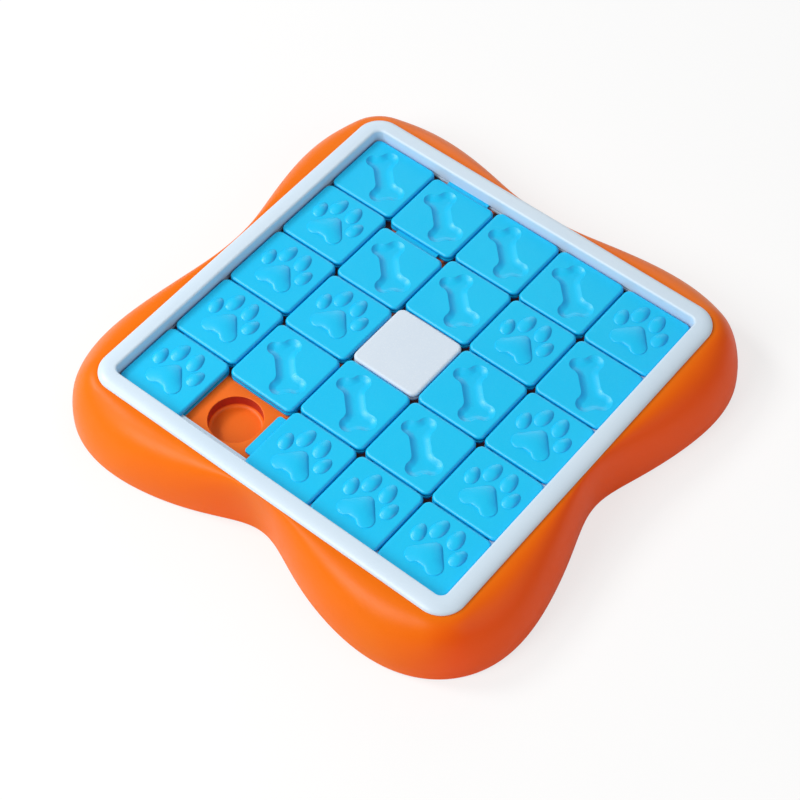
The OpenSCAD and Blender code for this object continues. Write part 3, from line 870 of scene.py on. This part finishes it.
def buildSkirt():
    v = skirtForm
    # one ring of vertices is drawn through every section in turn
    sections = [skirtSection(v, 2 * pi * i / v["spokes"]) for i in range(v["spokes"])]
    bm = bmesh.new()
    spoke = bm.verts.layers.int.new("spoke")
    ring = bmesh.ops.create_circle(bm, cap_ends=False, radius=1, segments=v["spokes"])["verts"]
    for vert in ring:
        vert[spoke] = round(atan2(vert.co.y, vert.co.x) / (2 * pi) * v["spokes"]) % v["spokes"]

    def moveTo(verts, row):
        for vert in verts:
            a = 2 * pi * vert[spoke] / v["spokes"]
            r, z = sections[vert[spoke]][row]
            vert.co = (r * cos(a), r * sin(a), z)

    moveTo(ring, 0)
    edges = bm.edges[:]
    rows = len(sections[0])
    for row in range(1, rows + 1):
        made = bmesh.ops.extrude_edge_only(bm, edges=edges)["geom"]
        edges = [g for g in made if isinstance(g, bmesh.types.BMEdge)]
        moveTo(vertsIn(made), row % rows)
    bmesh.ops.remove_doubles(bm, verts=bm.verts, dist=near)
    addPiece("lobed_skirt", bm, "base", baseOrange,
             ["skirt_1", "skirt_2", "skirt_3", "skirt_4"])
    print("skirt built")


buildSkirt()

footForm = {
    "at": trayForm["postAt"], "radius": 8.0, "height": trayForm["postFoot"],
    "edge": 1.0, "edgeSteps": 6, "topChamfer": 0.2,
    "dishRadius": 3.0, "dishDepth": 0.35,   # shallow dish that the foot grips the table with
    "stem": 3.9, "stemTop": 7.0, "stemChamfer": 0.4, "steps": 48,
}


def buildFeet():
    v = footForm
    dish, top, tip = v["dishDepth"], v["topChamfer"], v["stemChamfer"]
    profile = [(0, dish), (v["dishRadius"], dish), (v["dishRadius"] + dish, 0)]
    profile += quarterArc((v["radius"] - v["edge"], v["edge"]), v["edge"], -90, 0, v["edgeSteps"])
    profile += [(v["radius"], v["height"] - top), (v["radius"] - top, v["height"]), (v["stem"], v["height"]),
                (v["stem"], v["stemTop"] - tip), (v["stem"] - tip, v["stemTop"]), (0, v["stemTop"])]
    for i, (x, y) in enumerate(((-1, -1), (1, -1), (1, 1), (-1, 1)), 1):
        bm = bmesh.new()
        spun(bm, profile, (x * v["at"], y * v["at"]), v["steps"])
        addPiece(f"rubber_foot_{i}", bm, "base", footRubber, [f"foot_{i}"])
    for name in ("frame_screws", "centre_screw"):
        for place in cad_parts[name].material_slots:
            place.material = plainSteel
    print("feet and screws done")


buildFeet()

studio = {
    "ambient": 0.38, "shadowShare": 0.38, "white": 1.1, "floorTone": (238, 238, 238),
    "floorHalf": 4, "aim": (0, 0, 0.02),
    # azimuth and elevation in degrees, distance, size, watts and colour of each lamp
    "lamps": {
        "key": (-112, 40, 2.0, 0.9, 18.5, (1.0, 0.99, 0.97)),
        "side": (-160, 44, 2.0, 0.5, 15, (1.0, 1.0, 1.0)),
        "back": (118, 20, 2.2, 1.4, 8, (0.98, 0.99, 1.0)),
        "fill": (5, 30, 2.0, 1.4, 6.5, (1.0, 0.95, 0.9)),
    },
}


def buildWorld(v):
    # the camera sees plain white, the object gets softer light from all round
    world = bpy.data.worlds.new("studio")
    scene.world = world
    world.use_nodes = True
    tree = world.node_tree
    tree.nodes.clear()
    out = tree.nodes.new("ShaderNodeOutputWorld")
    ray = tree.nodes.new("ShaderNodeLightPath")
    mix = tree.nodes.new("ShaderNodeMixShader")
    soft, plain = tree.nodes.new("ShaderNodeBackground"), tree.nodes.new("ShaderNodeBackground")
    soft.inputs["Strength"].default_value = v["ambient"]
    plain.inputs["Strength"].default_value = 1
    tree.links.new(ray.outputs["Is Camera Ray"], mix.inputs["Fac"])
    tree.links.new(soft.outputs[0], mix.inputs[1])
    tree.links.new(plain.outputs[0], mix.inputs[2])
    tree.links.new(mix.outputs[0], out.inputs["Surface"])


def buildFloor(v):
    # the camera sees a blend of white and the real shadows
    n = Nodes("studio floor")
    diffuse = n.add("ShaderNodeBsdfDiffuse", Color=linear(v["floorTone"]))
    white = n.add("ShaderNodeEmission", Strength=v["white"])
    mixed = n.add("ShaderNodeMixShader")
    ray = n.add("ShaderNodeLightPath")
    share = n.add("ShaderNodeMath", operation="MULTIPLY")
    share.inputs[1].default_value = 1 - v["shadowShare"]
    n.link(ray.outputs["Is Camera Ray"], share.inputs[0])
    n.link(share.outputs[0], mixed.inputs["Fac"])
    n.link(diffuse.outputs[0], mixed.inputs[1])
    n.link(white.outputs[0], mixed.inputs[2])
    n.link(mixed.outputs[0], n.output.inputs["Surface"])
    bm = bmesh.new()
    bmesh.ops.create_grid(bm, x_segments=4, y_segments=4, size=v["floorHalf"])
    mesh = bpy.data.meshes.new("floor")
    bm.to_mesh(mesh)
    bm.free()
    mesh.materials.append(n.material)
    floor = bpy.data.objects.new("floor", mesh)
    scene.collection.objects.link(floor)


def buildLamps(v):
    for name, (azimuth, elevation, distance, size, watts, colour) in v["lamps"].items():
        a, e = radians(azimuth), radians(elevation)
        place = Vector((cos(e) * cos(a), cos(e) * sin(a), sin(e))) * distance
        lamp = bpy.data.lights.new(name, "AREA")
        lamp.shape = "SQUARE"
        lamp.size = size
        lamp.energy = watts
        lamp.color = colour
        holder = bpy.data.objects.new(name, lamp)
        holder.location = place
        holder.rotation_euler = (Vector(v["aim"]) - place).to_track_quat("-Z", "Y").to_euler()
        scene.collection.objects.link(holder)


# degrees and metres; lens and sensor in millimetres
view = {
    "azimuth": -51.361, "elevation": 54.405, "roll": 0.314, "distance": 1.26083,
    "target": (0.019004, -0.031217, 0.0346), "lens": 93.055, "sensor": 36.0, "nearest": 0.05,
}


def buildCamera(v):
    a, e, roll = radians(v["azimuth"]), radians(v["elevation"]), radians(v["roll"])
    back = Vector((cos(e) * cos(a), cos(e) * sin(a), sin(e)))
    right = Vector((0, 0, 1)).cross(back).normalized()
    up = back.cross(right)
    level = Matrix((right, up, back)).transposed()
    turned = level @ Matrix.Rotation(roll, 3, "Z")
    lens = bpy.data.cameras.new("camera")
    lens.lens = v["lens"]
    lens.sensor_width = v["sensor"]
    lens.sensor_fit = "HORIZONTAL"
    lens.clip_start = v["nearest"]
    camera = bpy.data.objects.new("camera", lens)
    camera.matrix_world = Matrix.Translation(Vector(v["target"]) + back * v["distance"]) @ turned.to_4x4()
    scene.collection.objects.link(camera)
    scene.camera = camera


buildWorld(studio)
buildFloor(studio)
buildLamps(studio)
buildCamera(view)
scene.view_settings.view_transform = "Standard"
print("studio ready")
